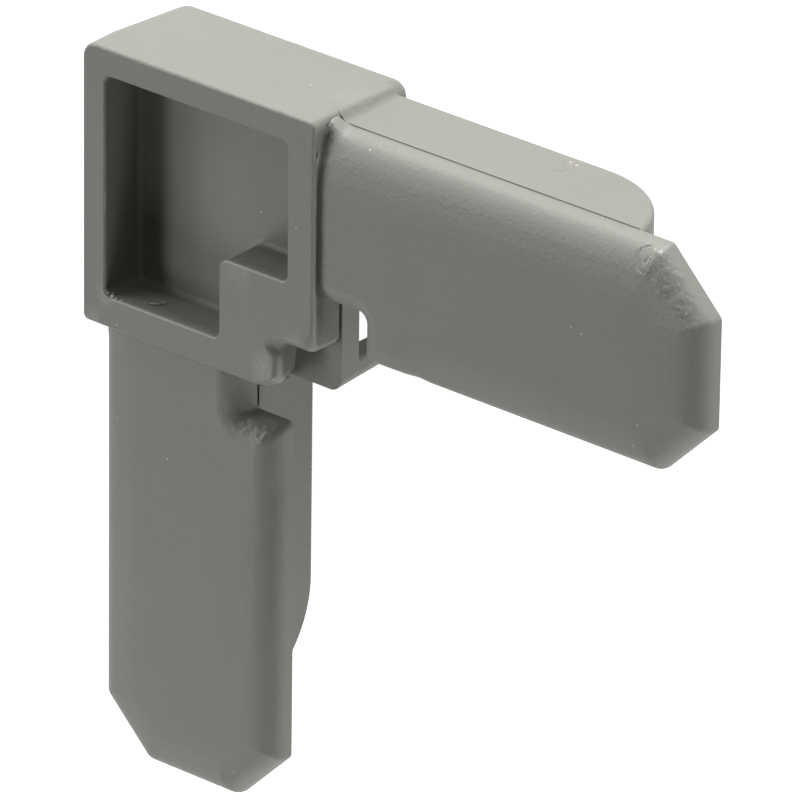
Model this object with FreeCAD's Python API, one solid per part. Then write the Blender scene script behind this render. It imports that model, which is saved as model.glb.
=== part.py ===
import FreeCAD, Part
from FreeCAD import Vector
import math
import os

# Moulded corner for a window screen's frame, one piece of plastic. All sizes are in millimetres.
# It lies on its back: +Z is the side with the square pocket, and Z = 0 is the back plane. The centre lines of
# the two frame tubes that it joins cross at X = Y = 0, and its two legs push into them along +X and +Y.
# The legs mirror each other in the plane X = Y.

# Frame tubes
TUBE_WIDTH = 19.05
TUBE_DEPTH = 9.525
TUBE_WALL = 0.55

# Block, the visible corner between the tubes
BLOCK_PROUD = 0.125
OUTER_CORNER_RADIUS = 1.1
SHOULDER_RADIUS = 0.45
SHOULDER_SLOPE = 50
SHOULDER_BLEND = 0.6
SHOULDER_REACH = 0.05
PARTING_DEPTH = 2.45
FRONT_DRAFT = 0.06
FRONT_EDGE_RADIUS = 0.25
BACK_DRAFT = 0.18
BACK_CORNER_RADIUS = 1.3
BACK_EDGE_RADIUS = 1.2

# Pocket in the block's front, with a square pad left in its inner corner
POCKET_RIM = 1.95
POCKET_INNER_RIM = 2.2
POCKET_DEPTH = 3.35
POCKET_CORNER_RADIUS = 0.5
POCKET_FLOOR_RADIUS = 0.35
POCKET_RIM_CHAMFER = 0.1
PAD_SIZE = 5.6
PAD_CORNER_RADIUS = 0.75

# Leg: a front plate with rounded edges over a thick rib with a round nose
LEG_REACH = 30.3
PLATE_FRONT_INSET = 0.45
PLATE_STEP = 0.08
PLATE_OVERHANG = 3.2
PLATE_EDGE_RADIUS = 1.88
PLATE_CORNER_RADIUS = 0.5
END_CHAMFER = 3.8
NOTCH_LENGTH = 3.0
NOTCH_LIP = 0.1
NOTCH_CORNER_RADIUS = 0.3
RIB_BACK_INSET = 1.45
RIB_REACH = 24.0
RIB_NOSE_RADIUS = 7.4
RIB_EDGE_RADIUS = 0.35

# Inner corner, where the grooves for the screen's spline cross. They are open to the back.
GROOVE_WIDTH = 4.9
GROOVE_FLOOR = 1.7
POST_WIDTH = 1.875
INNER_CORNER_RADIUS = 0.9
POST_EDGE_RADIUS = 0.4
WINDOW_SIZE = 3.35
WINDOW_CORNER_RADIUS = 0.8
WINDOW_EDGE_RADIUS = 0.9
MOUTH_RADIUS = 0.8
MOUTH_FLARE = 0.35
MOUTH_ANGLE = 60
SLOT_HEIGHT = 0.3
SLOT_DEPTH = 0.5

# Places across and along a leg. The outer sides are negative.
block_inner = TUBE_WIDTH / 2 + BLOCK_PROUD
block_outer = -block_inner
leg_outer = TUBE_WALL - TUBE_WIDTH / 2
leg_root = block_inner - POCKET_INNER_RIM / 2
leg_end = block_inner + LEG_REACH
plate_outer = leg_outer + PLATE_STEP
post_start = block_inner - POST_WIDTH
rib_inner = post_start - GROOVE_WIDTH
rib_tip = block_inner + RIB_REACH
plate_inner = rib_inner + PLATE_OVERHANG
notch_inner = rib_inner + NOTCH_LIP
notch_end = block_inner + NOTCH_LENGTH
window_start = block_inner - WINDOW_SIZE
slot_inner = block_inner - SLOT_DEPTH
pocket_outer = block_outer + POCKET_RIM
pocket_inner = block_inner - POCKET_INNER_RIM
pad_start = pocket_inner - PAD_SIZE
clear = block_inner + GROOVE_WIDTH

# Heights above the back plane
seam_z = TUBE_DEPTH - PARTING_DEPTH
plate_top = TUBE_DEPTH - PLATE_FRONT_INSET
floor_top = seam_z - SLOT_HEIGHT
floor_back = floor_top - GROOVE_FLOOR
pocket_floor = TUBE_DEPTH - POCKET_DEPTH

TOLERANCE = 1e-6


def outline(corners, z):
    """Closed wire at height z through (x, y, radius) corners, each rounded by its radius."""
    count = len(corners)
    stops = []
    for i, (x, y, radius) in enumerate(corners):
        corner = Vector(x, y, z)
        before = corners[i - 1]
        after = corners[(i + 1) % count]
        back = (Vector(before[0], before[1], z) - corner).normalize()
        ahead = (Vector(after[0], after[1], z) - corner).normalize()
        half = back.getAngle(ahead) / 2
        reach = radius / math.tan(half)
        middle = corner + (back + ahead).normalize() * (radius / math.sin(half) - radius)
        stops.append((corner + back * reach, middle, corner + ahead * reach))
    edges = []
    for i, (start, middle, end) in enumerate(stops):
        if (end - start).Length > TOLERANCE:
            edges.append(Part.Arc(start, middle, end).toShape())
        following = stops[(i + 1) % count][0]
        if (following - end).Length > TOLERANCE:
            edges.append(Part.LineSegment(end, following).toShape())
    return Part.Wire(edges)


def prism(corners, bottom, top):
    """Solid between two heights over a rounded outline."""
    return Part.Face(outline(corners, bottom)).extrude(Vector(0, 0, top - bottom))


def between(value, low, high):
    """Whether a value lies in a range, ends included."""
    return low - TOLERANCE < value < high + TOLERANCE


def edges_in(solid, low, high):
    """Edges of a solid that lie wholly in the box between two corners."""
    found = []
    for edge in solid.Edges:
        box = edge.BoundBox
        if (between(box.XMin, low[0], high[0]) and between(box.XMax, low[0], high[0])
                and between(box.YMin, low[1], high[1]) and between(box.YMax, low[1], high[1])
                and between(box.ZMin, low[2], high[2]) and between(box.ZMax, low[2], high[2])):
            found.append(edge)
    return found


def edges_at_height(solid, z):
    """Edges that lie wholly at one height."""
    return edges_in(solid, (-math.inf, -math.inf, z), (math.inf, math.inf, z))


def block_outline(draw_in, outer_radius, shoulder_radius, inner_radius, z):
    """The block's four sides at one height."""
    near = block_outer + draw_in
    far = block_inner - draw_in
    return outline([(near, near, outer_radius), (far, near, shoulder_radius),
                    (far, far, inner_radius), (near, far, shoulder_radius)], z)


def seam_outline():
    """The block where it is widest, at the parting line."""
    return block_outline(0, OUTER_CORNER_RADIUS, SHOULDER_RADIUS, INNER_CORNER_RADIUS, seam_z)


def make_back():
    """Block behind the parting line, less the crossing of the spline grooves, but with its post."""
    foot = block_outline(BACK_DRAFT, BACK_CORNER_RADIUS, BACK_CORNER_RADIUS, BACK_CORNER_RADIUS, 0)
    plain = Part.makeLoft([foot, seam_outline()], True, True)
    rounded = plain.makeFillet(BACK_EDGE_RADIUS, edges_at_height(plain, 0))
    crossing = prism([(rib_inner, rib_inner, 0), (clear, rib_inner, 0),
                      (clear, clear, 0), (rib_inner, clear, 0)], 0, floor_back)
    post = plain.common(prism([(post_start, post_start, POST_EDGE_RADIUS), (clear, post_start, 0),
                               (clear, clear, 0), (post_start, clear, 0)], 0, floor_back))
    side = block_inner - BACK_DRAFT
    mouths = edges_in(post, (side, post_start, 0), (block_inner, post_start, floor_back))
    mouths += edges_in(post, (post_start, side, 0), (post_start, block_inner, floor_back))
    return rounded.cut(crossing).fuse(post.makeFillet(POST_EDGE_RADIUS, mouths))


def make_front():
    """Block in front of the parting line, less its window."""
    face = block_outline(FRONT_DRAFT, OUTER_CORNER_RADIUS, SHOULDER_RADIUS, INNER_CORNER_RADIUS, TUBE_DEPTH)
    front = Part.makeLoft([seam_outline(), face], True, True)
    front = front.makeFillet(FRONT_EDGE_RADIUS, edges_at_height(front, TUBE_DEPTH))
    return front.common(make_window_form())


def make_window_form():
    """What the window leaves of the block's front: its edges are soft and its two mouths flare."""
    turn = block_inner - MOUTH_FLARE
    drop = window_start - (clear - turn) * math.tan(math.radians(MOUTH_ANGLE))
    low = 2 * block_outer
    form = prism([(low, low, 0), (clear, low, 0), (clear, drop, 0),
                  (turn, window_start, MOUTH_RADIUS), (window_start, window_start, WINDOW_CORNER_RADIUS),
                  (window_start, turn, MOUTH_RADIUS), (drop, clear, 0), (low, clear, 0)],
                 seam_z, TUBE_DEPTH)
    soft = edges_in(form, (drop, drop, TUBE_DEPTH), (clear, clear, TUBE_DEPTH))
    return form.makeFillet(WINDOW_EDGE_RADIUS, soft)


def cut_slot(block):
    """Cut the thin slot behind the parting line, round the two open sides of the groove's floor."""
    slot = prism([(rib_inner, slot_inner, 0), (window_start, slot_inner, 0), (window_start, window_start, 0),
                  (slot_inner, window_start, 0), (slot_inner, rib_inner, 0), (clear, rib_inner, 0),
                  (clear, clear, 0), (rib_inner, clear, 0)], floor_top, seam_z)
    return block.cut(slot)


def cut_pocket(block):
    """Cut the square pocket, less the pad in its inner corner."""
    pocket = prism([(pocket_outer, pocket_outer, POCKET_CORNER_RADIUS),
                    (pocket_inner, pocket_outer, POCKET_CORNER_RADIUS),
                    (pocket_inner, pad_start, POCKET_CORNER_RADIUS),
                    (pad_start, pad_start, PAD_CORNER_RADIUS),
                    (pad_start, pocket_inner, POCKET_CORNER_RADIUS),
                    (pocket_outer, pocket_inner, POCKET_CORNER_RADIUS)],
                   pocket_floor, TUBE_DEPTH + POCKET_DEPTH)
    open_block = block.cut(pocket.makeFillet(POCKET_FLOOR_RADIUS, edges_at_height(pocket, pocket_floor)))
    rim = edges_in(open_block, (pocket_outer, pocket_outer, TUBE_DEPTH), (pocket_inner, pocket_inner, TUBE_DEPTH))
    return open_block.makeChamfer(POCKET_RIM_CHAMFER, rim)


def make_plate():
    """Front plate of the leg along +X, with cut corners at its end and a notch beside the block."""
    plate = prism([(leg_root, plate_outer, 0),
                   (leg_end - END_CHAMFER, plate_outer, PLATE_CORNER_RADIUS),
                   (leg_end, plate_outer + END_CHAMFER, PLATE_CORNER_RADIUS),
                   (leg_end, plate_inner - END_CHAMFER, PLATE_CORNER_RADIUS),
                   (leg_end - END_CHAMFER, plate_inner, PLATE_CORNER_RADIUS),
                   (notch_end, plate_inner, PLATE_CORNER_RADIUS),
                   (notch_end, notch_inner, NOTCH_CORNER_RADIUS),
                   (leg_root, notch_inner, 0)], seam_z, plate_top)
    rim = [edge for edge in edges_at_height(plate, plate_top) if edge.BoundBox.XMax > leg_root + TOLERANCE]
    radius = min(PLATE_EDGE_RADIUS, plate_top - seam_z - TOLERANCE)
    return plate.makeFillet(radius, rim)


def make_rib():
    """Rib of the leg along +X, with a round nose to lead it into the tube and a slot beside the notch."""
    height = seam_z - RIB_BACK_INSET
    turn = math.acos(1 - height / RIB_NOSE_RADIUS)
    nose = Vector(rib_tip - RIB_NOSE_RADIUS * math.sin(turn), leg_outer, RIB_BACK_INSET)
    half_way = nose + Vector(math.sin(turn / 2), 0, 1 - math.cos(turn / 2)) * RIB_NOSE_RADIUS
    tip = Vector(rib_tip, leg_outer, seam_z)
    root_front = Vector(leg_root, leg_outer, seam_z)
    root_back = Vector(leg_root, leg_outer, RIB_BACK_INSET)
    side = Part.Wire([Part.LineSegment(root_back, nose).toShape(), Part.Arc(nose, half_way, tip).toShape(),
                      Part.LineSegment(tip, root_front).toShape(),
                      Part.LineSegment(root_front, root_back).toShape()])
    rib = Part.Face(side).extrude(Vector(0, rib_inner - leg_outer, 0))
    long_edges = [edge for edge in rib.Edges
                  if edge.BoundBox.YLength < TOLERANCE and edge.BoundBox.XLength > TOLERANCE
                  and edge.CenterOfMass.z < seam_z - TOLERANCE]
    slot = prism([(block_inner, rib_inner - SLOT_DEPTH, 0), (notch_end, rib_inner - SLOT_DEPTH, 0),
                  (notch_end, rib_inner + SLOT_DEPTH, 0), (block_inner, rib_inner + SLOT_DEPTH, 0)],
                 floor_top, seam_z)
    return rib.makeFillet(RIB_EDGE_RADIUS, long_edges).cut(slot)


def shoulder_outline(draw_in, z):
    """Soft step from the block's outer side down to the side of the leg along +X, at one height."""
    slope = math.radians(SHOULDER_SLOPE)
    near = block_outer + draw_in
    crest = block_inner - draw_in + SHOULDER_REACH - SHOULDER_RADIUS * (1 - math.tan(slope / 2))
    foot = crest + (leg_outer - near) / math.tan(slope)
    end = foot + SHOULDER_BLEND * math.tan(slope / 2)
    return outline([(leg_root, near, 0), (crest, near, SHOULDER_RADIUS), (foot, leg_outer, SHOULDER_BLEND),
                    (end, leg_outer, 0), (end, 0, 0), (leg_root, 0, 0)], z)


def make_shoulder():
    """The step between the block and the rib, with the block's draft."""
    foot_z = RIB_BACK_INSET + RIB_EDGE_RADIUS
    draw_in = BACK_DRAFT * (seam_z - foot_z) / seam_z
    return Part.makeLoft([shoulder_outline(draw_in, foot_z), shoulder_outline(0, seam_z)], True, True)


def mirrored(leg):
    """The same leg along +Y."""
    return leg.mirror(Vector(0, 0, 0), Vector(1, -1, 0))


def make_corner():
    """The whole moulding."""
    block = cut_pocket(cut_slot(make_back().fuse(make_front())))
    leg = make_plate().fuse([make_rib(), make_shoulder()])
    return block.fuse([leg, mirrored(leg)]).removeSplitter()


corner = make_corner()
print("solids", len(corner.Solids), "valid", corner.isValid(), "volume", round(corner.Volume, 1))
os.makedirs("parts", exist_ok=True)
corner.Solids[0].exportStep("parts/frame_corner.step")
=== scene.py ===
import math

import bmesh
import bpy
from mathutils import Matrix, Vector


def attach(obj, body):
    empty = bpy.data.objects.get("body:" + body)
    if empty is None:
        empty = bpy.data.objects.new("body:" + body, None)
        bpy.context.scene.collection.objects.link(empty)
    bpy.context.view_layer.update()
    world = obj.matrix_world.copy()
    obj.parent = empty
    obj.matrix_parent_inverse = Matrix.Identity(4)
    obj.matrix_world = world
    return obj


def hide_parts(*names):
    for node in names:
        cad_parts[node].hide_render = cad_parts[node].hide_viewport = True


bl_info = {
    "name": "Screen frame corner",
    "version": (1, 0, 0),
    "blender": (4, 5, 0),
    "location": "3D View > Sidebar > Frame corner",
    "description": "Dresses a moulded corner of a window screen's frame around its packed model",
    "category": "Add Mesh",
}

# The part lies on its back in metres: +Z is the side with the square pocket, the two frame tubes' centre lines
# cross at X = Y = 0, and the legs point along +X and +Y. The photograph has -X up and +Y to the right.
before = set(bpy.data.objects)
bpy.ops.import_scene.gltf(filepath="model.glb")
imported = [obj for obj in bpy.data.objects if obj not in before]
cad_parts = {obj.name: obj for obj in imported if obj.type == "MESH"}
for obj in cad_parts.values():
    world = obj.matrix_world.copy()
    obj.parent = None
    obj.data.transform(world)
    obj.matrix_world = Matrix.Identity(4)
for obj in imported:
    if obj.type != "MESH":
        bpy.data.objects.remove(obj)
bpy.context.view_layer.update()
NODE = "frame_corner"
BODY = "root"
MM = 0.001

# Places in millimetres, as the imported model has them
BLOCK_SIDE = 9.65
ARM_TOP = -8.975
# The legs' plates, as the arm has them: the height of the seam to the rib and of the front, the flat front's
# straight edges, and where along the arm its chamfers start and end
SEAM = 7.075
PLATE_FRONT = 9.075
PLATE_LOW = -7.015
PLATE_HIGH = 4.2
CHAMFER_START = 35.37
PLATE_END = 38.07
# The rounding along a plate's edge: its centre line lies under the flat front's edge, at this height
ROUNDING_HEIGHT = 7.195
ROUNDING_RADIUS = 1.88
# The window's wall ends under a soft edge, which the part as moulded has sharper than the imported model
WALL_TOP = 8.625
WINDOW_ROUNDING = 0.9

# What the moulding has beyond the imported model, in millimetres
SHARPER = 0.4
LIP_OVERHANG = 0.4
SEAM_FILL = 0.055
EDGE_SINK = 0.15
EDGE_SINK_REACH = 3.2
MOUTH_LUMPS = 0.07
# The joint between the block and the arm runs along X beside the block's side
JOINT_START = -8.9
JOINT_END = 6.6
# Edges that turn by more than this many degrees stay sharp
SHARP_ANGLE = 32

# The height of the skin's bump in millimetres, and how much of it the fine grain and the flow lines make up
SKIN_HEIGHT = 0.11
GRAIN_SHARE = 0.32
FLOW_SHARE = 0.06
# Dust: the width of its cells in millimetres, the share of them that have none, and a speck's radius in cells
DUST_CELL = 1.6
DUST_FREE = 0.55
DUST_RADIUS = 0.035

# The lamps: name, azimuth from +X and height in degrees, distance, width and height in metres, and watts
LAMPS = (
    ("lamp_top", 188, 0.6, 0.6, 0.3, 0.018, 3.7),
    ("lamp_top_high", 188, 2.5, 0.6, 0.3, 0.04, 0.9),
    ("lamp_top_wide", 188, 12, 0.6, 0.25, 0.1, 0.45),
    ("lamp_right", 90, 0.6, 0.6, 0.3, 0.018, 0.85),
    ("lamp_end", 125, 0.6, 0.6, 0.3, 0.018, 0.9),
    ("lamp_low", 5, 10, 0.3, 0.125, 0.05, 0.135),
    ("lamp_low_right", 45, 10, 0.6, 0.25, 0.1, 0.5),
    ("lamp_bottom", 0, 30, 0.25, 0.125, 0.075, 0.085),
    ("lamp_front_left", 315, 28, 0.35, 0.146, 0.0875, 0.22),
    ("lamp_left_low", 225, 28, 0.6, 0.25, 0.15, 0.45),
    ("lamp_left_side", 258, 28, 0.6, 0.25, 0.15, 0.78),
    ("lamp_back_right", 120, 52, 0.6, 0.2, 0.15, 0.15),
    ("lamp_left", 266, 52, 0.6, 0.2, 0.15, 0.5),
    ("lamp_left_high", 300, 52, 0.6, 0.2, 0.15, 0.4),
)
# The camera as it was fitted to the photograph's straight edges: its place and lens in millimetres and the
# directions of its right side and its view
CAMERA_PLACE = (-283.981, 412.243, 474.786)
CAMERA_RIGHT = (-0.0119, 0.7582, -0.6519)
CAMERA_FORWARD = (0.4300, -0.5847, -0.6879)
CAMERA_LENS = 495.0


def linear_colour(code):
    """Linear RGBA of an sRGB hex code."""
    channels = [int(code[i:i + 2], 16) / 255 for i in (1, 3, 5)]
    return [c / 12.92 if c <= 0.04045 else ((c + 0.055) / 1.055) ** 2.4 for c in channels] + [1.0]


def mm(*values):
    """A point or size in metres from millimetres."""
    return Vector(values) * MM


def ease(value, low, high):
    """0 below low, 1 above high and smooth between."""
    share = min(max((value - low) / (high - low), 0.0), 1.0)
    return share * share * (3 - 2 * share)


def steps(low, high, count):
    """Evenly spaced values, both ends included."""
    return [low + (high - low) * i / (count - 1) for i in range(count)]


def add_node(tree, kind, settings=None, values=None, links=None):
    """A node of a kind with its settings, its input values and the sockets that feed its inputs."""
    node = tree.nodes.new(kind)
    for name, value in (settings or {}).items():
        setattr(node, name, value)
    for name, value in (values or {}).items():
        node.inputs[name].default_value = value
    for name, socket in (links or {}).items():
        tree.links.new(socket, node.inputs[name])
    return node


def new_material(name):
    """An empty node material and its tree."""
    material = bpy.data.materials.new(name)
    material.use_nodes = True
    material.node_tree.nodes.clear()
    return material, material.node_tree


class CornerSizes(bpy.types.PropertyGroup):
    """What a user may change on the dressed corner."""
    plastic: bpy.props.FloatVectorProperty(
        name="Plastic", description="Colour of the moulded plastic", subtype="COLOR", size=4, min=0, max=1,
        default=linear_colour("#81817B"))
    paper: bpy.props.FloatVectorProperty(
        name="Floor", description="Colour of the pale floor", subtype="COLOR", size=4, min=0, max=1,
        default=linear_colour("#F0F0F0"))
    grain: bpy.props.FloatProperty(
        name="Grain", description="Width of the skin's fine grain", unit="LENGTH", default=0.3 * MM, min=0.05 * MM)
    peel: bpy.props.FloatProperty(
        name="Orange peel", description="Width of the coarser lumps on the rounded edges", unit="LENGTH",
        default=0.4 * MM, min=0.05 * MM)
    peel_height: bpy.props.FloatProperty(
        name="Orange peel height", description="Height of those lumps where they are strongest", unit="LENGTH",
        default=0.07 * MM, min=0)
    joint_depth: bpy.props.FloatProperty(
        name="Joint depth", description="Depth of the rough hollow between block and arm", unit="LENGTH",
        default=0.4 * MM, min=0)
    joint_ripple: bpy.props.FloatProperty(
        name="Joint ripple", description="Height of the lumps along that hollow", unit="LENGTH",
        default=0.12 * MM, min=0)


# Where the skin is coarser than elsewhere: a place and its reach in millimetres, and how coarse it is there
PEEL_SPOTS = (
    ((12.9, 3.2, 8.7), 1.3, 1.0), ((13.5, 4.7, 8.7), 1.2, 0.9), ((11.9, 2.3, 8.6), 0.9, 0.5),
    ((-8.1, 35.6, 8.6), 1.4, 1.0), ((-7.2, 36.9, 8.6), 1.5, 1.0), ((-5.9, 38.2, 8.5), 1.4, 0.8),
    ((8.3, 5.8, 9.3), 1.6, 0.9), ((6.2, 8.2, 9.4), 1.5, 0.7), ((-8.6, 9.8, 8.7), 1.3, 0.7),
    ((7.3, -7.5, 9.4), 1.0, 0.9), ((2.1, 1.0, 9.4), 1.4, 0.6), ((2.1, 3.6, 9.3), 1.6, 0.5),
    ((-9.5, 9.0, 5.0), 2.2, 0.5), ((9.3, -8.6, 9.4), 1.2, 0.8),
)
# How coarse it is on rounded edges away from the spots
EDGE_COARSENESS = 0.15
# The parts of the mesh whose lumps are strong enough to be modelled, as boxes in millimetres, and their grid's size
PEEL_GRIDS = (
    ((11.4, 1.3, 7.1), (15.2, 6.2, 9.2)),
    ((-9.1, 34.2, 7.2), (-4.8, 39.9, 9.2)),
)
PEEL_GRID_SIZE = 0.13


def coarse_skin(tree, place):
    """How coarse the skin is at a place: most at the spots, a little on rounded edges and not on the flats."""
    total = add_node(tree, "ShaderNodeAttribute", {"attribute_name": "rounded"}).outputs["Fac"]
    for spot, reach, strength in PEEL_SPOTS:
        away = add_node(tree, "ShaderNodeVectorMath", {"operation": "DISTANCE"}, {1: mm(*spot)}, {0: place})
        near = add_node(tree, "ShaderNodeMapRange", {"interpolation_type": "SMOOTHSTEP"},
                        {"From Min": reach * MM, "From Max": 0.3 * reach * MM, "To Max": strength},
                        {"Value": away.outputs["Value"]})
        total = add_node(tree, "ShaderNodeMath", {"operation": "MAXIMUM"},
                         links={0: total, 1: near.outputs["Result"]}).outputs[0]
    return total


def streaks(tree, place, sizes):
    """Faint flow lines: they run along Y on the arm and along X on the leg and the block."""
    lines = []
    for long_axis in (0, 1):
        scale = [1 / sizes.grain] * 3
        scale[long_axis] = 0.04 / sizes.grain
        stretched = add_node(tree, "ShaderNodeMapping", values={"Scale": scale}, links={"Vector": place})
        noise = add_node(tree, "ShaderNodeTexNoise", values={"Scale": 1.0, "Detail": 2.0},
                         links={"Vector": stretched.outputs["Vector"]})
        lines.append(noise.outputs["Fac"])
    across = add_node(tree, "ShaderNodeSeparateXYZ", links={"Vector": place}).outputs["Y"]
    on_arm = add_node(tree, "ShaderNodeMath", {"operation": "GREATER_THAN"}, {1: BLOCK_SIDE * MM}, {0: across})
    return add_node(tree, "ShaderNodeMix", links={0: on_arm.outputs[0], 2: lines[0], 3: lines[1]}).outputs[0]


def moulded_plastic(sizes):
    """Grey ABS, injection moulded: a matte skin with fine grain and faint flow lines, orange peel on some rounded
    edges, where it is also glossier, and a few specks of pale dust."""
    material, tree = new_material("moulded_abs_matte")
    place = add_node(tree, "ShaderNodeTexCoord").outputs["Object"]
    coarse = coarse_skin(tree, place)
    flow = streaks(tree, place, sizes)
    # grain and lumps are drawn wider and higher than on the real part, so that they show at the photograph's distance
    grain = add_node(tree, "ShaderNodeTexNoise", values={"Scale": 1 / sizes.grain, "Detail": 3.0, "Roughness": 0.6},
                     links={"Vector": place})
    peel = add_node(tree, "ShaderNodeTexNoise", values={"Scale": 1 / sizes.peel, "Detail": 2.0, "Roughness": 0.45},
                    links={"Vector": place})
    lumps = add_node(tree, "ShaderNodeMath", {"operation": "MULTIPLY"}, links={0: peel.outputs["Fac"], 1: coarse})
    skin = add_node(tree, "ShaderNodeMath", {"operation": "MULTIPLY_ADD"}, {1: GRAIN_SHARE},
                    {0: grain.outputs["Fac"], 2: lumps.outputs[0]})
    height = add_node(tree, "ShaderNodeMath", {"operation": "MULTIPLY_ADD"}, {1: FLOW_SHARE},
                      {0: flow, 2: skin.outputs[0]})
    bump = add_node(tree, "ShaderNodeBump", values={"Strength": 0.9, "Distance": SKIN_HEIGHT * MM},
                    links={"Height": height.outputs[0]})

    # clouds 5 mm wide in the tone, as pigment mixes in a mould, and a mottle half as wide as the grain
    pigment = add_node(tree, "ShaderNodeTexNoise", values={"Scale": 1 / (5 * MM), "Detail": 4.0},
                       links={"Vector": place})
    mottle = add_node(tree, "ShaderNodeTexNoise", values={"Scale": 1 / (0.5 * sizes.grain), "Detail": 2.0},
                      links={"Vector": place})
    mottle_share = add_node(tree, "ShaderNodeMath", {"operation": "MULTIPLY_ADD"}, {1: 0.9, 2: -0.2},
                            {0: mottle.outputs["Fac"]})
    darkness = add_node(tree, "ShaderNodeMath", {"operation": "ADD"},
                        links={0: mottle_share.outputs[0], 1: pigment.outputs["Fac"]})
    darker = [channel * 0.9 for channel in sizes.plastic[:3]] + [1.0]
    toned = add_node(tree, "ShaderNodeMix", {"data_type": "RGBA"}, {6: sizes.plastic, 7: darker},
                     {0: darkness.outputs[0]})
    # the flow lines are paler
    paler = [channel * 1.06 for channel in sizes.plastic[:3]] + [1.0]
    flow_share = add_node(tree, "ShaderNodeMath", {"operation": "MULTIPLY"}, {1: 0.5}, {0: flow})
    lined = add_node(tree, "ShaderNodeMix", {"data_type": "RGBA"}, {7: paler},
                     {0: flow_share.outputs[0], 6: toned.outputs[2]})
    # specks of dust, about 0.1 mm wide
    cells = add_node(tree, "ShaderNodeTexVoronoi", values={"Scale": 1 / (DUST_CELL * MM)}, links={"Vector": place})
    chosen = add_node(tree, "ShaderNodeSeparateColor", links={"Color": cells.outputs["Color"]}).outputs[0]
    picked = add_node(tree, "ShaderNodeMath", {"operation": "GREATER_THAN"}, {1: DUST_FREE}, {0: chosen})
    inside = add_node(tree, "ShaderNodeMath", {"operation": "LESS_THAN"}, {1: DUST_RADIUS},
                      {0: cells.outputs["Distance"]})
    speck = add_node(tree, "ShaderNodeMath", {"operation": "MULTIPLY"},
                     links={0: picked.outputs[0], 1: inside.outputs[0]})
    colour = add_node(tree, "ShaderNodeMix", {"data_type": "RGBA"}, {7: linear_colour("#C4C3BA")},
                      {0: speck.outputs[0], 6: lined.outputs[2]})
    roughness = add_node(tree, "ShaderNodeMapRange", values={"To Min": 0.58, "To Max": 0.32},
                         links={"Value": coarse})
    shader = add_node(tree, "ShaderNodeBsdfPrincipled", values={"IOR": 1.5},
                      links={"Base Color": colour.outputs[2], "Roughness": roughness.outputs[0],
                             "Normal": bump.outputs["Normal"]})
    add_node(tree, "ShaderNodeOutputMaterial", links={"Surface": shader.outputs["BSDF"]})
    return material


def torn_plastic():
    """Torn ABS: paler where it was stretched, with brown dirt caught in its hollows."""
    material, tree = new_material("torn_abs_pale")
    place = add_node(tree, "ShaderNodeTexCoord").outputs["Object"]
    patches = add_node(tree, "ShaderNodeTexNoise", values={"Scale": 1 / (0.25 * MM), "Detail": 2.0},
                       links={"Vector": place})
    tones = add_node(tree, "ShaderNodeValToRGB", links={"Fac": patches.outputs["Fac"]})
    tones.color_ramp.elements[0].position = 0.34
    tones.color_ramp.elements[0].color = linear_colour("#6A6252")
    tones.color_ramp.elements[1].position = 0.55
    tones.color_ramp.elements[1].color = linear_colour("#B4B2A8")
    bump = add_node(tree, "ShaderNodeBump", values={"Strength": 0.5, "Distance": 0.04 * MM},
                    links={"Height": patches.outputs["Fac"]})
    shader = add_node(tree, "ShaderNodeBsdfPrincipled", values={"Roughness": 0.45, "IOR": 1.5},
                      links={"Base Color": tones.outputs["Color"], "Normal": bump.outputs["Normal"]})
    add_node(tree, "ShaderNodeOutputMaterial", links={"Surface": shader.outputs["BSDF"]})
    return material


def activate(piece):
    """Make a piece the only selected and the active one."""
    bpy.ops.object.select_all(action="DESELECT")
    piece.select_set(True)
    bpy.context.view_layer.objects.active = piece


def apply_modifiers(piece):
    """Apply all of a piece's modifiers in their order."""
    activate(piece)
    for modifier in list(piece.modifiers):
        bpy.ops.object.modifier_apply(modifier=modifier.name)


def in_box(face, low, high, whole):
    """Whether a face lies in a box in millimetres, wholly or with a part."""
    for i in range(3):
        places = [vertex.co[i] / MM for vertex in face.verts]
        least, most = min(places), max(places)
        if whole and (least < low[i] or most > high[i]):
            return False
        if not whole and (most <= low[i] or least >= high[i]):
            return False
    return True


def cut_faces(mesh, low, high, axis, places, whole):
    """Cut the faces that lie in a box along planes across one axis, in millimetres."""
    faces = [face for face in mesh.faces if in_box(face, low, high, whole)]
    normal = [0, 0, 0]
    normal[axis] = 1
    for place in places:
        point = [0, 0, 0]
        point[axis] = place * MM
        geometry = set(faces)
        for face in faces:
            geometry.update(face.edges)
            geometry.update(face.verts)
        cut = bmesh.ops.bisect_plane(mesh, geom=list(geometry), dist=1e-8, plane_co=point, plane_no=normal)
        faces = [item for item in cut["geom"] if isinstance(item, bmesh.types.BMFace)]


def grid_faces(mesh, low, high, size):
    """Part the faces in a box from the rest and cut them into a grid, all in millimetres."""
    for axis in (0, 1):
        cut_faces(mesh, low, high, axis, (low[axis], high[axis]), whole=False)
    for axis in (0, 1):
        count = max(2, round((high[axis] - low[axis]) / size))
        cut_faces(mesh, [value - 0.002 for value in low], [value + 0.002 for value in high], axis,
                  steps(low[axis], high[axis], count)[1:-1], whole=True)


def add_weights(piece, name, weight):
    """A vertex group whose weights come from each vertex's place in millimetres."""
    group = piece.vertex_groups.new(name=name)
    for vertex in piece.data.vertices:
        value = weight(vertex.co / MM)
        if value > 0:
            group.add([vertex.index], value, "REPLACE")


def add_displace(piece, group, strength, direction, texture, middle):
    """A displace modifier in millimetres, limited to a vertex group."""
    modifier = piece.modifiers.new(group, "DISPLACE")
    modifier.vertex_group = group
    modifier.strength = strength * MM
    modifier.direction = direction
    modifier.mid_level = middle
    modifier.texture_coords = "LOCAL"
    modifier.texture = texture


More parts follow.
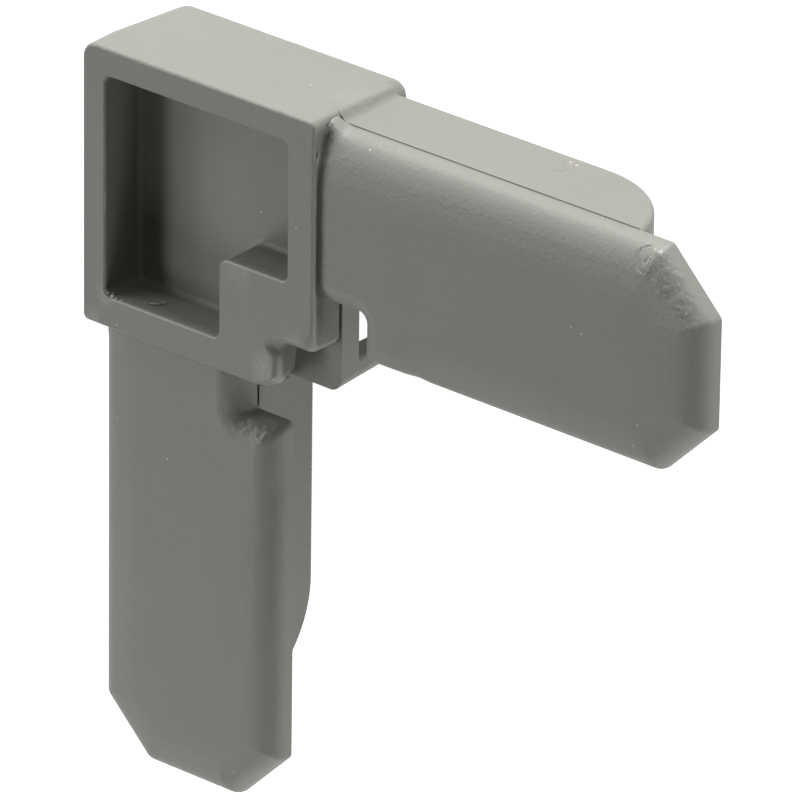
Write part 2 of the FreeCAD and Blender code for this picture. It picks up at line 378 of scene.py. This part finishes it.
def clouds(name, size, depth=2):
    """A cloud noise texture whose lumps are a size in millimetres."""
    texture = bpy.data.textures.new(name, "CLOUDS")
    texture.noise_scale = size * MM
    texture.noise_depth = depth
    return texture


def smooth_faces(piece):
    """Smooth shading that keeps sharp edges and leaves flat faces flat."""
    activate(piece)
    bpy.ops.object.shade_smooth_by_angle(angle=math.radians(SHARP_ANGLE))
    modifier = piece.modifiers.new("flat_faces", "WEIGHTED_NORMAL")
    modifier.keep_sharp = True
    modifier.weight = 50
    apply_modifiers(piece)


# The functions below give a place's weight from its millimetres. Each first leaves out what it doesn't reach.
def joint_hollow(place):
    """How much the arm's plate sinks beside the block: most in the pit near the arm's top edge."""
    if not (9.6 < place.y < 10.9 and 7.6 < place.z < 9.2 and -9.3 < place.x < 3.0):
        return 0
    pit = ease(place.x, -8.6, -8.0) * (1 - ease(place.x, -7.4, -6.6))
    reach = 0.6 + 0.2 * pit
    depth = 0.2 + 0.45 * pit
    end = 1 - 0.4 * ease(place.x, 1.5, 2.9)
    return depth * (1 - ease(place.y, 9.7, 9.7 + reach)) * ease(place.z, 8.1, 8.7) * end


def joint_trench(place):
    """How much the block's side is drawn in under its front edge."""
    if not (9.5 < place.y < 9.75 and 8.4 < place.z < 9.35 and JOINT_START < place.x < JOINT_END):
        return 0
    ends = ease(place.x, JOINT_START, JOINT_START + 0.6) * (1 - ease(place.x, JOINT_END - 2.2, JOINT_END - 0.3))
    return ends * (1 - ease(abs(place.z - 8.95), 0.05, 0.45))


def joint_run(place):
    """How many millimetres of plastic ran over the step from the block's top on to the arm's rounded edge."""
    if not (9.6 < place.y < 10.95 and place.z > 7.07 and -8.9 < place.x < -7.2):
        return 0
    step = place.x + BLOCK_SIDE - 0.05
    rise = (1 - ease(place.y, 9.5, 10.9)) * ease(place.z, 6.9, 7.5) * (1 - ease(place.z, 7.9, 9.0))
    return 0.8 * step * rise


def arm_seam(place):
    """How many millimetres the plate's edge is filled up where it meets the rib's top."""
    if not (9.7 < place.y and 7.07 < place.z < 7.9 and ARM_TOP < place.x < -8.7):
        return 0
    return SEAM_FILL * (1 - ease(place.z, 7.2, 7.9))


def edge_sink(across, along):
    """How many millimetres a plate's front sinks towards its long edges and its cut end, and its rounding less."""
    inner = PLATE_HIGH - across + 4 * (1 - ease(along, 15.0, 18.0))
    cut_low = (across - PLATE_LOW + CHAMFER_START - along) / math.sqrt(2)
    cut_high = (PLATE_HIGH - across + CHAMFER_START - along) / math.sqrt(2)
    inside = min(across - PLATE_LOW, inner, PLATE_END - along, cut_low, cut_high)
    if inside >= 0:
        return EDGE_SINK * max(1 - inside / EDGE_SINK_REACH, 0) ** 3
    # the slope at the flat front's edge goes on, and is used up where the rounding ends
    return max(EDGE_SINK - 0.14 * inside - 0.117 * inside * inside, 0)


def arm_edges(place):
    """The sinking of the arm's front in millimetres."""
    return edge_sink(place.x, place.y) if place.y > 9.62 and place.z > 7.3 else 0


def leg_edges(place):
    """The sinking of the leg's front in millimetres."""
    return edge_sink(place.y, place.x) if place.x > 9.62 and place.z > 7.3 else 0


def joint_rough(place):
    """How lumpy the surface is along the joint."""
    if not (9.2 < place.y < 10.6 and 7.8 < place.z < 9.46 and -9.6 < place.x < JOINT_END):
        return 0
    end = 1 - ease(place.x, JOINT_END - 2.5, JOINT_END)
    pit = 1 + 0.8 * (1 - ease(place.x, -7.2, -6.2))
    across = (1 - ease(place.y, 9.9, 10.5)) * ease(place.y, 9.2, 9.45)
    return 0.55 * pit * end * across * ease(place.z, 7.8, 8.4)


def window_lip(place):
    """How many millimetres the front's edge hangs over the window's wall."""
    if not (5.35 < place.y < 6.45 and 7.1 < place.z and 6.2 < place.x < 9.35):
        return 0
    along = ease(place.x, 6.6, 7.5) * (1 - 0.6 * ease(place.x, 8.7, 9.35))
    if place.z < WALL_TOP:
        return along * LIP_OVERHANG * ease(place.z, 7.6, WALL_TOP)
    rise = min((place.z - WALL_TOP) / WINDOW_ROUNDING, 1)
    return along * (LIP_OVERHANG + SHARPER * (1 - math.sqrt(1 - rise * rise)))


def window_front(place):
    """How many millimetres the soft edge over the window is filled up."""
    if not (5.35 < place.y < 6.45 and 7.6 < place.z and 6.2 < place.x < 9.35):
        return 0
    along = ease(place.x, 6.6, 7.5) * (1 - ease(place.x, 8.5, 9.2))
    if place.z < WALL_TOP:
        return along * 0.9 * SHARPER * ease(place.z, 7.6, WALL_TOP)
    return along * 0.9 * SHARPER * (1 - min((place.z - WALL_TOP) / WINDOW_ROUNDING, 1))


def window_foot(place):
    """How many millimetres the foot of the window's wall is drawn in, more towards its mouth."""
    if not (5.6 < place.y < 6.35 and 6.7 < place.z < 8.6 and 6.4 < place.x < 9.6):
        return 0
    depth = (0.35 + 0.2 * ease(place.x, 7.4, 9.4)) * ease(place.x, 6.4, 7.2)
    return depth * (1 - (place.z - 6.7) / 1.9)


def coarse_lumps(place):
    """How coarse the skin's lumps are in the boxes whose lumps are modelled."""
    strongest = 0
    for low, high in PEEL_GRIDS:
        if all(low[i] < place[i] < high[i] for i in range(3)):
            for spot, reach, strength in PEEL_SPOTS:
                away = (place - Vector(spot)).length
                strongest = max(strongest, strength * (1 - ease(away, 0.3 * reach, 1.1 * reach)))
    return min(strongest, 1)


def lumpy_mouth(place):
    """How lumpy the melted edge round the window is."""
    if not (place.z < 9.44 and 8.2 < place.z and 4.5 < place.x < 9.8 and 4.5 < place.y < 9.8):
        return 0
    return ease(place.x + place.y, 11.0, 12.5)


def mark_rounded(piece):
    """Mark the points that lie within rounded edges, for the material."""
    values = [EDGE_COARSENESS] * len(piece.data.vertices)
    for face in piece.data.polygons:
        if max(abs(part) for part in face.normal) > 0.999:
            for index in face.vertices:
                values[index] = 0.0
    marks = piece.data.attributes.new("rounded", "FLOAT", "POINT").data
    for mark, value in zip(marks, values):
        mark.value = value


class CORNER_OT_moulding(bpy.types.Operator):
    """Adds the moulded corner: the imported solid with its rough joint, softer plates and melted window edge"""
    bl_idname = "corner.moulding"
    bl_label = "Moulding"

    def execute(self, context):
        sizes = context.scene.corner
        piece = bpy.data.objects.new("corner_moulding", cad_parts[NODE].data.copy())
        context.collection.objects.link(piece)
        activate(piece)
        bpy.ops.object.mode_set(mode="EDIT")
        bpy.ops.mesh.select_all(action="SELECT")
        bpy.ops.mesh.customdata_custom_splitnormals_clear()
        bpy.ops.mesh.remove_doubles(threshold=2e-6)
        bpy.ops.mesh.dissolve_limited(angle_limit=math.radians(0.1))
        bpy.ops.object.mode_set(mode="OBJECT")
        mesh = bmesh.new()
        mesh.from_mesh(piece.data)
        # the long roundings of both legs' plates, so that their shading stays even
        foot, top = SEAM - 0.015, PLATE_FRONT + 0.005
        rows = [10.9] + steps(12, 39, 28)
        for low, high in ((-9.0, -6.9), (4.0, 6.2)):
            cut_faces(mesh, (low, 9.0, foot), (high, 40, top), 1, rows, whole=True)
            cut_faces(mesh, (9.0, low, foot), (40, high, top), 0, rows, whole=True)
        # the plates' flat fronts, towards their edges
        columns = (-6.7, -6.4, -6.1, -5.7, -5.3, -4.9, -4.4, -3.9, 1.1, 1.6, 2.1, 2.5, 2.9, 3.3, 3.6, 3.9)
        rows = [10.9, 12.35] + steps(14, 32, 13) + steps(32.5, 38, 12)
        for across, along in ((0, 1), (1, 0)):
            low, high = [9.5] * 3, [40.0] * 3
            low[across], high[across] = PLATE_LOW - 0.02, PLATE_HIGH + 0.02
            low[2], high[2] = PLATE_FRONT - 0.015, PLATE_FRONT + 0.015
            cut_faces(mesh, low, high, across, columns, whole=True)
            cut_faces(mesh, low, high, along, rows, whole=True)
        # the arm's plate and its rounding beside the block
        cut_faces(mesh, (-9.2, 9.62, foot), (3.2, 9.7, 9.2), 1,
                  (10.9, 10.7, 10.5, 10.35, 10.2, 10.05, 9.92, 9.82, 9.73), whole=False)
        # the block's side under its front edge
        cut_faces(mesh, (-9.7, 9.1, 7.0), (9.7, 9.66, 9.54), 2,
                  (9.22, 9.12, 9.0, 8.88, 8.75, 8.6, 8.45), whole=True)
        # across both
        cut_faces(mesh, (-9.7, 9.1, 7.0), (9.7, 10.91, 9.6), 0, steps(JOINT_START, JOINT_END, 100), whole=True)
        # the window's wall and the soft edge over it
        cut_faces(mesh, (6.0, 6.2, 6.7), (9.9, 6.4, 9.0), 2,
                  (8.5, 8.25, 8.0, 7.75, 7.5, 7.25, 7.0), whole=False)
        cut_faces(mesh, (5.9, 5.3, 6.7), (9.9, 6.4, 9.6), 0, steps(6.2, 9.4, 17), whole=True)
        for low, high in PEEL_GRIDS:
            grid_faces(mesh, low, high, PEEL_GRID_SIZE)
        mesh.to_mesh(piece.data)
        mesh.free()
        ripple = clouds("ripple", 0.6)
        for weight, strength, direction, texture, middle in (
                (joint_hollow, -sizes.joint_depth / MM, "Z", None, 0.0),
                (joint_trench, -0.4 * sizes.joint_depth / MM, "Y", None, 0.0),
                (joint_run, -1.0, "X", None, 0.0),
                (arm_seam, -1.0, "X", None, 0.0),
                (arm_edges, -1.0, "Z", None, 0.0),
                (leg_edges, -1.0, "Z", None, 0.0),
                (window_lip, 1.0, "Y", None, 0.0),
                (window_foot, -1.0, "Y", None, 0.0),
                (window_front, 1.0, "Z", None, 0.0),
                (lumpy_mouth, MOUTH_LUMPS, "NORMAL", ripple, 0.5),
                (joint_rough, sizes.joint_ripple / MM, "NORMAL", ripple, 0.5),
                (coarse_lumps, sizes.peel_height / MM, "NORMAL", clouds("peel", 0.2), 0.5)):
            add_weights(piece, weight.__name__, weight)
            add_displace(piece, weight.__name__, strength, direction, texture, middle)
        apply_modifiers(piece)
        piece.vertex_groups.clear()
        smooth_faces(piece)
        mark_rounded(piece)
        piece.data.materials.clear()
        piece.data.materials.append(moulded_plastic(sizes))
        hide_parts(NODE)
        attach(piece, BODY)
        return {"FINISHED"}


def add_ridge(name, points, radii):
    """A tapered ridge along points in millimetres, extruded step by step from a ring and closed at its ends."""
    heading = (Vector(points[1]) - Vector(points[0])).to_track_quat("Z", "Y").to_euler()
    bpy.ops.object.select_all(action="DESELECT")
    bpy.ops.mesh.primitive_circle_add(vertices=10, radius=radii[0] * MM, fill_type="NGON",
                                      location=mm(*points[0]), rotation=heading)
    ridge = bpy.context.object
    ridge.name = name
    bpy.ops.object.transform_apply(location=True, rotation=True, scale=True)
    bpy.ops.object.mode_set(mode="EDIT")
    bpy.ops.mesh.select_all(action="SELECT")
    for i in range(1, len(points)):
        step = (Vector(points[i]) - Vector(points[i - 1])) * MM
        bpy.ops.mesh.extrude_region_move(TRANSFORM_OT_translate={"value": step})
        ratio = radii[i] / radii[i - 1]
        bpy.ops.transform.resize(value=(ratio, ratio, ratio), center_override=mm(*points[i]))
    bpy.ops.mesh.select_all(action="SELECT")
    bpy.ops.mesh.normals_make_consistent(inside=False)
    bpy.ops.object.mode_set(mode="OBJECT")
    return ridge


def add_crumb(name, place, radius, flat):
    """A loose lump at a place in millimetres."""
    bpy.ops.object.select_all(action="DESELECT")
    bpy.ops.mesh.primitive_ico_sphere_add(subdivisions=3, radius=radius * MM, location=mm(*place))
    crumb = bpy.context.object
    crumb.name = name
    bpy.ops.object.transform_apply(location=True, rotation=True, scale=True)
    bpy.ops.object.mode_set(mode="EDIT")
    bpy.ops.mesh.select_all(action="SELECT")
    bpy.ops.transform.resize(value=flat, center_override=mm(*place))
    bpy.ops.object.mode_set(mode="OBJECT")
    return crumb


def finish_bits(name, bits, lump, lump_size, material):
    """Join bits, round them off, make them lumpy and dress them as one piece."""
    activate(bits[0])
    for bit in bits:
        bit.select_set(True)
    bpy.ops.object.join()
    piece = bpy.context.object
    piece.name = name
    rounder = piece.modifiers.new("rounded", "SUBSURF")
    rounder.levels = 1
    rough = piece.modifiers.new("lumpy", "DISPLACE")
    rough.texture = clouds(name, lump_size, 3)
    rough.strength = lump * MM
    rough.texture_coords = "LOCAL"
    apply_modifiers(piece)
    bpy.ops.object.shade_smooth()
    piece.data.materials.append(material)
    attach(piece, BODY)


class CORNER_OT_flash(bpy.types.Operator):
    """Adds the flash and the torn bits that the mould left at the joint, the pocket's rim and the arm's top"""
    bl_idname = "corner.flash"
    bl_label = "Flash and torn bits"

    def execute(self, context):
        plastic = bpy.data.materials["moulded_abs_matte"]
        # a sliver in the joint, a bulge on the pocket's rim and a ragged edge at the block's lower corner
        joint = add_ridge("joint", [(-7.5, 9.66, 9.0), (-7.25, 9.62, 9.16), (-6.95, 9.58, 9.28),
                                    (-6.6, 9.53, 9.34), (-6.2, 9.48, 9.38), (-5.8, 9.44, 9.42)],
                          [0.02, 0.09, 0.15, 0.13, 0.08, 0.03])
        rim = add_ridge("rim", [(-0.3, -7.76, 9.44), (0.2, -7.72, 9.43), (0.8, -7.7, 9.43),
                                (1.4, -7.71, 9.43), (1.9, -7.76, 9.44)],
                        [0.02, 0.06, 0.08, 0.07, 0.02])
        edge = add_ridge("edge", [(9.3, -9.2, 9.36), (9.44, -8.9, 9.37), (9.5, -8.5, 9.38),
                                  (9.46, -8.1, 9.4), (9.48, -7.7, 9.38), (9.4, -7.3, 9.4)],
                         [0.04, 0.1, 0.07, 0.1, 0.06, 0.02])
        # the mark of a pin 2 mm wide, an arc on the rounding near the arm's end
        arc = []
        for angle in steps(1.45, 4.4, 15):
            lean = math.radians(52) + 1.0 / ROUNDING_RADIUS * math.sin(angle)
            arc.append((PLATE_LOW - ROUNDING_RADIUS * math.cos(lean), 35.4 + math.cos(angle),
                        ROUNDING_HEIGHT + ROUNDING_RADIUS * math.sin(lean)))
        pin = add_ridge("pin", arc, [0.01] + [0.025] * 13 + [0.01])
        bits = [joint, rim, edge, pin]
        # the scar on the arm's top
        for side in (0.0, 0.35):
            points = [(ARM_TOP + rise, along + side, height - side) for rise, along, height in (
                (0.05, 24.0, 4.6), (0.02, 24.12, 4.1), (0.02, 24.2, 3.6), (0.05, 24.25, 3.1))]
            bits.append(add_ridge("scar", points, [0.02, 0.08, 0.07, 0.02]))
        finish_bits("corner_flash", bits, 0.05, 0.25, plastic)

        torn = torn_plastic()
        # a curl on the pocket's lower wall and crumbs in its corner
        curl = add_ridge("curl", [(7.44, -5.2, 8.62), (7.4, -4.9, 8.55), (7.37, -4.5, 8.42), (7.34, -4.12, 8.22),
                                  (7.33, -3.98, 7.98), (7.36, -4.12, 7.76), (7.42, -4.45, 7.74)],
                         [0.02, 0.04, 0.05, 0.06, 0.06, 0.05, 0.02])
        bits = [curl]
        for place, radius in (((7.05, -7.72, 9.38), 0.12), ((7.25, -7.55, 9.36), 0.1), ((7.4, -7.2, 9.33), 0.13),
                              ((7.42, -6.85, 9.38), 0.08), ((7.3, -7.35, 9.1), 0.08), ((7.42, -6.5, 9.3), 0.06)):
            bits.append(add_crumb("crumb", place, radius, (1.0, 1.25, 0.8)))
        # crumbs at the end of the scar
        for along, height, radius in ((24.05, 2.35, 0.1), (24.35, 2.2, 0.12), (24.3, 2.65, 0.09),
                                      (24.65, 2.45, 0.11), (23.85, 2.7, 0.08)):
            bits.append(add_crumb("crumb", (ARM_TOP, along, height), radius, (0.5, 1.3, 1.0)))
        finish_bits("corner_torn_bits", bits, 0.06, 0.12, torn)
        return {"FINISHED"}


def soft_lamp(name, azimuth, height, distance, width, tall, watts):
    """A rectangular area lamp at an azimuth from +X and a height in degrees, turned to face the part's middle."""
    aim = mm(12, 12, 5)
    turn, rise = math.radians(azimuth), math.radians(height)
    level = math.cos(rise)
    spot = aim + distance * Vector((level * math.cos(turn), level * math.sin(turn), math.sin(rise)))
    bpy.ops.object.light_add(type="AREA", location=spot)
    lamp = bpy.context.object
    lamp.name = name
    lamp.data.shape = "RECTANGLE"
    lamp.data.size = width
    lamp.data.size_y = tall
    lamp.data.energy = watts
    lamp.rotation_euler = (aim - spot).to_track_quat("-Z", "Y").to_euler()


class CORNER_OT_stage(bpy.types.Operator):
    """Adds the pale floor, the studio lamps and the camera"""
    bl_idname = "corner.stage"
    bl_label = "Stage"

    def execute(self, context):
        bpy.ops.object.select_all(action="DESELECT")
        bpy.ops.mesh.primitive_circle_add(vertices=96, radius=3.0, fill_type="NGON", location=(0, 0, 0))
        floor = bpy.context.object
        floor.name = "floor"
        # white paper: the rays named below see it white, and it still takes the object's shadow
        material, tree = new_material("white_paper_sweep")
        rays = add_node(tree, "ShaderNodeLightPath")
        white_to = rays.outputs["Is Camera Ray"]
        for kind in ("Is Glossy Ray", "Is Transmission Ray"):
            white_to = add_node(tree, "ShaderNodeMath", {"operation": "MAXIMUM"},
                                links={0: white_to, 1: rays.outputs[kind]}).outputs[0]
        paper = add_node(tree, "ShaderNodeBsdfDiffuse", values={"Color": context.scene.corner.paper})
        glow = add_node(tree, "ShaderNodeEmission", values={"Color": linear_colour("#FFFFFF"), "Strength": 0.95})
        lit = add_node(tree, "ShaderNodeAddShader", links={0: paper.outputs[0], 1: glow.outputs[0]})
        seen = add_node(tree, "ShaderNodeMixShader", links={0: white_to, 1: paper.outputs[0], 2: lit.outputs[0]})
        add_node(tree, "ShaderNodeOutputMaterial", links={"Surface": seen.outputs[0]})
        floor.data.materials.append(material)

        world = bpy.data.worlds.new("studio")
        world.use_nodes = True
        sky = world.node_tree.nodes["Background"]
        sky.inputs["Color"].default_value = linear_colour("#FFFFFF")
        sky.inputs["Strength"].default_value = 0.01
        context.scene.world = world

        for lamp in LAMPS:
            soft_lamp(*lamp)

        bpy.ops.object.camera_add(location=mm(*CAMERA_PLACE))
        camera = bpy.context.object
        right = Vector(CAMERA_RIGHT).normalized()
        forward = Vector(CAMERA_FORWARD).normalized()
        up = right.cross(forward).normalized()
        camera.rotation_euler = Matrix((right, up, -forward)).transposed().to_euler()
        camera.data.sensor_width = 36.0
        camera.data.lens = CAMERA_LENS
        camera.data.clip_start = 0.01
        context.scene.camera = camera
        context.scene.view_settings.view_transform = "Standard"
        return {"FINISHED"}


class CORNER_PT_panel(bpy.types.Panel):
    """Lists the corner's sizes and steps in the sidebar"""
    bl_idname = "CORNER_PT_panel"
    bl_label = "Frame corner"
    bl_space_type = "VIEW_3D"
    bl_region_type = "UI"
    bl_category = "Frame corner"

    def draw(self, context):
        """List the sizes and a button for each step."""
        for name in CornerSizes.__annotations__:
            self.layout.prop(context.scene.corner, name)
        for operator in (CORNER_OT_moulding, CORNER_OT_flash, CORNER_OT_stage):
            self.layout.operator(operator.bl_idname)


CLASSES = (CornerSizes, CORNER_OT_moulding, CORNER_OT_flash, CORNER_OT_stage, CORNER_PT_panel)


def register():
    """Register the classes and the scene's sizes."""
    for cls in CLASSES:
        bpy.utils.register_class(cls)
    bpy.types.Scene.corner = bpy.props.PointerProperty(type=CornerSizes)


def unregister():
    """Take out what register put in."""
    del bpy.types.Scene.corner
    for cls in reversed(CLASSES):
        bpy.utils.unregister_class(cls)


def main():
    """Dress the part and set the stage."""
    register()
    bpy.ops.corner.moulding()
    bpy.ops.corner.flash()
    bpy.ops.corner.stage()


if __name__ == "__main__":
    main()
